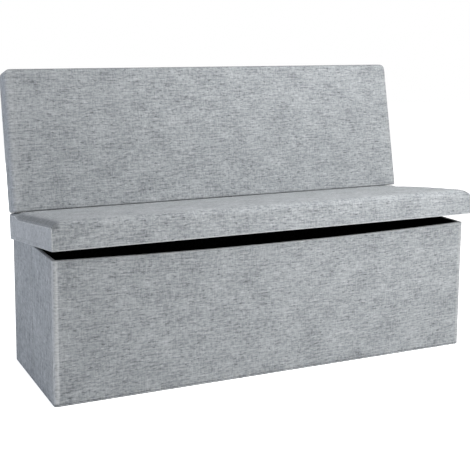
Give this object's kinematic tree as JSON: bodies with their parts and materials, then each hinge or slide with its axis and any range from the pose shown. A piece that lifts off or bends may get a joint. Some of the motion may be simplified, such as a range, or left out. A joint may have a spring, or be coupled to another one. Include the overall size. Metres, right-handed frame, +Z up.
{
  "type": "storage bench",
  "caption": "Fabric covered storage bench: padded lid hinged at the rear of a fold-flat box, and a padded backrest that folds down over the seat.",
  "frame": {"origin": "middle of the box's footprint, on the floor", "axes": "+X along the bench to the sitter's left, -Y to the front, +Z up"},
  "size_m": [1.14, 0.486, 0.7441],
  "materials": {
    "heather_fabric": "woven, matt",
    "black_lining": "felted, matt",
    "foam": "open cell, matt",
    "fibreboard": "raw board",
    "softwood": "planed",
    "hinge_steel": "dark plated"
  },
  "bodies": {
    "base": {"rear_wall_cover": "heather_fabric", "rear_wall_board": "fibreboard", "rear_wall_lining": "black_lining", "floor_cover": "heather_fabric", "floor_board": "fibreboard", "rear_corner_cords": "heather_fabric", "lid_hinge_lower_leaves": "hinge_steel", "lid_hinge_pins": "hinge_steel"},
    "left_rear_half": {"left_rear_cover": "heather_fabric", "left_rear_board": "fibreboard", "left_rear_lining": "black_lining", "left_crease_cord": "heather_fabric"},
    "left_front_half": {"left_front_cover": "heather_fabric", "left_front_board": "fibreboard", "left_front_lining": "black_lining"},
    "front_wall": {"front_wall_cover": "heather_fabric", "front_wall_board": "fibreboard", "front_wall_lining": "black_lining", "front_corner_cords": "heather_fabric"},
    "right_rear_half": {"right_rear_cover": "heather_fabric", "right_rear_board": "fibreboard", "right_rear_lining": "black_lining", "right_crease_cord": "heather_fabric"},
    "right_front_half": {"right_front_cover": "heather_fabric", "right_front_board": "fibreboard", "right_front_lining": "black_lining"},
    "lid": {"lid_cover": "heather_fabric", "lid_lining": "black_lining", "lid_board": "fibreboard", "lid_front_rail": "softwood", "lid_left_skirt": "fibreboard", "lid_right_skirt": "fibreboard", "lid_rear_rail": "softwood", "seat_foam": "foam", "seat_edge_foam": "foam", "lid_hinge_upper_leaves": "hinge_steel", "backrest_hinge_lower_leaves": "hinge_steel", "backrest_hinge_pins": "hinge_steel"},
    "backrest": {"backrest_cover": "heather_fabric", "backrest_rear_panel": "fibreboard", "backrest_front_panel": "fibreboard", "backrest_foam": "foam", "backrest_bottom_rail": "softwood", "backrest_top_rail": "softwood", "backrest_left_stile": "softwood", "backrest_right_stile": "softwood", "backrest_middle_stile": "softwood", "backrest_hinge_upper_leaves": "hinge_steel"}
  },
  "joints": [
    {"name": "lid_hinge", "type": "hinge", "parent": "base", "child": "lid", "pos_m": [0, 0.18855, 0.33925], "axis": [-1, 0, 0], "range_deg": [-7, 83]},
    {"name": "backrest_hinge", "type": "hinge", "parent": "lid", "child": "backrest", "pos_m": [0, 0.13794, 0.3911], "axis": [1, 0, 0], "range_deg": [0, 92]},
    {"name": "left_rear_fold", "type": "hinge", "parent": "base", "child": "left_rear_half", "pos_m": [-0.5525, 0.1733, 0.17], "axis": [0, 0, 1], "range_deg": [0, 88]},
    {"name": "left_front_fold", "type": "hinge", "parent": "left_rear_half", "child": "left_front_half", "pos_m": [-0.5643, 0, 0.17], "axis": [0, 0, -1], "range_deg": [0, 176]},
    {"name": "front_fold", "type": "hinge", "parent": "left_front_half", "child": "front_wall", "pos_m": [-0.5525, -0.1733, 0.17], "axis": [0, 0, 1], "range_deg": [0, 88]},
    {"name": "right_rear_fold", "type": "hinge", "parent": "base", "child": "right_rear_half", "pos_m": [0.5525, 0.1733, 0.17], "axis": [0, 0, -1], "range_deg": [0, 88]},
    {"name": "right_front_fold", "type": "hinge", "parent": "right_rear_half", "child": "right_front_half", "pos_m": [0.5643, 0, 0.17], "axis": [0, 0, 1], "range_deg": [0, 176]}
  ],
  "couplings": [
    {"joint": "left_front_fold", "follows": "left_rear_fold", "ratio": 2},
    {"joint": "front_fold", "follows": "left_rear_fold", "ratio": 1},
    {"joint": "right_rear_fold", "follows": "left_rear_fold", "ratio": 1},
    {"joint": "right_front_fold", "follows": "left_rear_fold", "ratio": 2}
  ]
}
